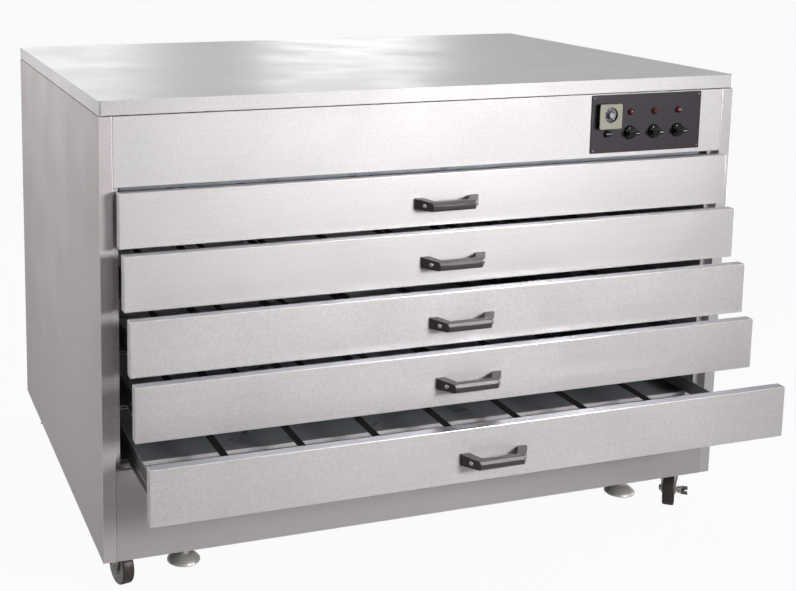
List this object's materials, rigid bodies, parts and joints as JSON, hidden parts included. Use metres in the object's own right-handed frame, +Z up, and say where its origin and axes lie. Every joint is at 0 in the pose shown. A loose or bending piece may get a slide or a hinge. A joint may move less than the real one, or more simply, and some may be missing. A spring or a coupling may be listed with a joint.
{
  "type": "drawer drying cabinet",
  "caption": "Low wide stainless hot-air drying cabinet with shallow slatted drawers, a dark control plate, levelling feet and swivel casters.",
  "frame": {"origin": "on the floor, in the middle of the object's box at rest with the drawers open as pictured", "axes": "+X to the right of someone facing the drawers, -Y is the way the drawers open, +Z up"},
  "size_m": [1.4, 1.274, 1.012],
  "materials": {
    "stainless": "satin stainless sheet",
    "frame_dark": "dark painted angle",
    "handle": "charcoal, satin",
    "plate": "dark satin plate",
    "ivory": "clear ivory moulding",
    "black_plastic": "black moulding",
    "lamp_red": "deep red lens",
    "plated": "zinc plated steel",
    "tread": "dark tread",
    "heater": "sheathed element"
  },
  "bodies": {
    "cabinet": {"top_cover": "stainless", "left_side_panel": "stainless", "right_side_panel": "stainless", "back_panel": "stainless", "uprights": "stainless", "header_panel": "stainless", "plinth_panel": "stainless", "ceiling_panel": "stainless", "base_pan": "stainless", "base_frame": "frame_dark", "drawer_runners": "frame_dark", "control_plate": "plate", "thermostat": "ivory", "pilot_lamps": "lamp_red", "fuse_holder": "black_plastic", "rotary_switches": "black_plastic", "heater_elements": "heater", "fan_motor": "frame_dark", "caster_mounts": "plated", "cable_gland": "black_plastic"},
    "thermostat_knob": {"thermostat_knob": "black_plastic"},
    "heater_switch_knob": {"heater_switch_knob": "black_plastic"},
    "fan_switch_knob": {"fan_switch_knob": "black_plastic"},
    "power_switch_knob": {"power_switch_knob": "black_plastic"},
    "fuse_cap": {"fuse_cap": "black_plastic"},
    "fan_rotor": {"fan_rotor": "black_plastic"},
    "caster_fork_front_left": {"caster_fork_front_left": "plated"},
    "caster_wheel_front_left": {"caster_wheel_front_left": "tread"},
    "caster_fork_front_right": {"caster_fork_front_right": "plated"},
    "caster_wheel_front_right": {"caster_wheel_front_right": "tread"},
    "caster_fork_rear_left": {"caster_fork_rear_left": "plated"},
    "caster_wheel_rear_left": {"caster_wheel_rear_left": "tread"},
    "caster_fork_rear_right": {"caster_fork_rear_right": "plated"},
    "caster_wheel_rear_right": {"caster_wheel_rear_right": "tread"},
    "levelling_foot_front_left": {"levelling_foot_front_left": "plated"},
    "levelling_foot_front_right": {"levelling_foot_front_right": "plated"},
    "levelling_foot_rear_left": {"levelling_foot_rear_left": "plated"},
    "levelling_foot_rear_right": {"levelling_foot_rear_right": "plated"},
    "brake_pedal_front_right": {"brake_pedal_front_right": "black_plastic"},
    "brake_pedal_rear_left": {"brake_pedal_rear_left": "black_plastic"},
    "drawer_1": {"drawer_1_front": "stainless", "drawer_1_frame": "frame_dark", "drawer_1_slats": "frame_dark", "drawer_1_handle": "handle"},
    "drawer_2": {"drawer_2_front": "stainless", "drawer_2_frame": "frame_dark", "drawer_2_slats": "frame_dark", "drawer_2_handle": "handle"},
    "drawer_3": {"drawer_3_front": "stainless", "drawer_3_frame": "frame_dark", "drawer_3_slats": "frame_dark", "drawer_3_handle": "handle"},
    "drawer_4": {"drawer_4_front": "stainless", "drawer_4_frame": "frame_dark", "drawer_4_slats": "frame_dark", "drawer_4_handle": "handle"},
    "drawer_5": {"drawer_5_front": "stainless", "drawer_5_frame": "frame_dark", "drawer_5_slats": "frame_dark", "drawer_5_handle": "handle"}
  },
  "joints": [
    {"name": "thermostat_turn", "type": "hinge", "parent": "cabinet", "child": "thermostat_knob", "pos_m": [0.387, -0.345, 0.9385], "axis": [0, 1, 0], "range_deg": [0, 270]},
    {"name": "heater_switch_turn", "type": "hinge", "parent": "cabinet", "child": "heater_switch_knob", "pos_m": [0.442, -0.345, 0.898], "axis": [0, 1, 0], "range_deg": [-90, 0]},
    {"name": "fan_switch_turn", "type": "hinge", "parent": "cabinet", "child": "fan_switch_knob", "pos_m": [0.501, -0.345, 0.898], "axis": [0, 1, 0], "range_deg": [-90, 0]},
    {"name": "power_switch_turn", "type": "hinge", "parent": "cabinet", "child": "power_switch_knob", "pos_m": [0.56, -0.345, 0.898], "axis": [0, 1, 0], "range_deg": [-90, 0]},
    {"name": "fuse_cap_draw", "type": "slide", "parent": "cabinet", "child": "fuse_cap", "axis": [0, -1, 0], "range_m": [0, 0.04]},
    {"name": "fan_spin", "type": "hinge", "parent": "cabinet", "child": "fan_rotor", "pos_m": [0, 0.25, 0.858], "axis": [0, 0, 1], "continuous": true},
    {"name": "swivel_front_left", "type": "hinge", "parent": "cabinet", "child": "caster_fork_front_left", "pos_m": [-0.637, -0.26, 0.0857], "axis": [0, 0, 1], "continuous": true},
    {"name": "wheel_spin_front_left", "type": "hinge", "parent": "caster_fork_front_left", "child": "caster_wheel_front_left", "pos_m": [-0.64082, -0.24037, 0.0375], "axis": [-0.9816, -0.1908, 0], "continuous": true},
    {"name": "swivel_front_right", "type": "hinge", "parent": "cabinet", "child": "caster_fork_front_right", "pos_m": [0.659, -0.26, 0.0857], "axis": [0, 0, 1], "continuous": true},
    {"name": "wheel_spin_front_right", "type": "hinge", "parent": "caster_fork_front_right", "child": "caster_wheel_front_right", "pos_m": [0.64724, -0.27618, 0.0375], "axis": [0.809, -0.5878, 0], "continuous": true},
    {"name": "swivel_rear_left", "type": "hinge", "parent": "cabinet", "child": "caster_fork_rear_left", "pos_m": [-0.637, 0.53, 0.0857], "axis": [0, 0, 1], "continuous": true},
    {"name": "wheel_spin_rear_left", "type": "hinge", "parent": "caster_fork_rear_left", "child": "caster_wheel_rear_left", "pos_m": [-0.63353, 0.5497, 0.0375], "axis": [-0.9848, 0.1736, 0], "continuous": true},
    {"name": "swivel_rear_right", "type": "hinge", "parent": "cabinet", "child": "caster_fork_rear_right", "pos_m": [0.659, 0.53, 0.0857], "axis": [0, 0, 1], "continuous": true},
    {"name": "wheel_spin_rear_right", "type": "hinge", "parent": "caster_fork_rear_right", "child": "caster_wheel_rear_right", "pos_m": [0.64961, 0.54766, 0.0375], "axis": [-0.8829, -0.4695, 0], "continuous": true},
    {"name": "foot_height_front_left", "type": "slide", "parent": "cabinet", "child": "levelling_foot_front_left", "axis": [0, 0, -1], "range_m": [-0.02, 0.045]},
    {"name": "foot_height_front_right", "type": "slide", "parent": "cabinet", "child": "levelling_foot_front_right", "axis": [0, 0, -1], "range_m": [-0.02, 0.045]},
    {"name": "foot_height_rear_left", "type": "slide", "parent": "cabinet", "child": "levelling_foot_rear_left", "axis": [0, 0, -1], "range_m": [-0.02, 0.045]},
    {"name": "foot_height_rear_right", "type": "slide", "parent": "cabinet", "child": "levelling_foot_rear_right", "axis": [0, 0, -1], "range_m": [-0.02, 0.045]},
    {"name": "brake_front_right", "type": "hinge", "parent": "caster_fork_front_right", "child": "brake_pedal_front_right", "pos_m": [0.66504, -0.28911, 0.0375], "axis": [0.5878, 0.809, 0], "range_deg": [0, 18]},
    {"name": "brake_rear_left", "type": "hinge", "parent": "caster_fork_rear_left", "child": "brake_pedal_rear_left", "pos_m": [-0.65519, 0.55352, 0.0375], "axis": [-0.1736, -0.9848, 0], "range_deg": [0, 18]},
    {"name": "drawer_1_slide", "type": "slide", "parent": "cabinet", "child": "drawer_1", "axis": [0, -1, 0], "range_m": [-0.031, 0.529]},
    {"name": "drawer_2_slide", "type": "slide", "parent": "cabinet", "child": "drawer_2", "axis": [0, -1, 0], "range_m": [-0.067, 0.493]},
    {"name": "drawer_3_slide", "type": "slide", "parent": "cabinet", "child": "drawer_3", "axis": [0, -1, 0], "range_m": [-0.111, 0.449]},
    {"name": "drawer_4_slide", "type": "slide", "parent": "cabinet", "child": "drawer_4", "axis": [0, -1, 0], "range_m": [-0.147, 0.413]},
    {"name": "drawer_5_slide", "type": "slide", "parent": "cabinet", "child": "drawer_5", "axis": [0, -1, 0], "range_m": [-0.254, 0.306]}
  ]
}
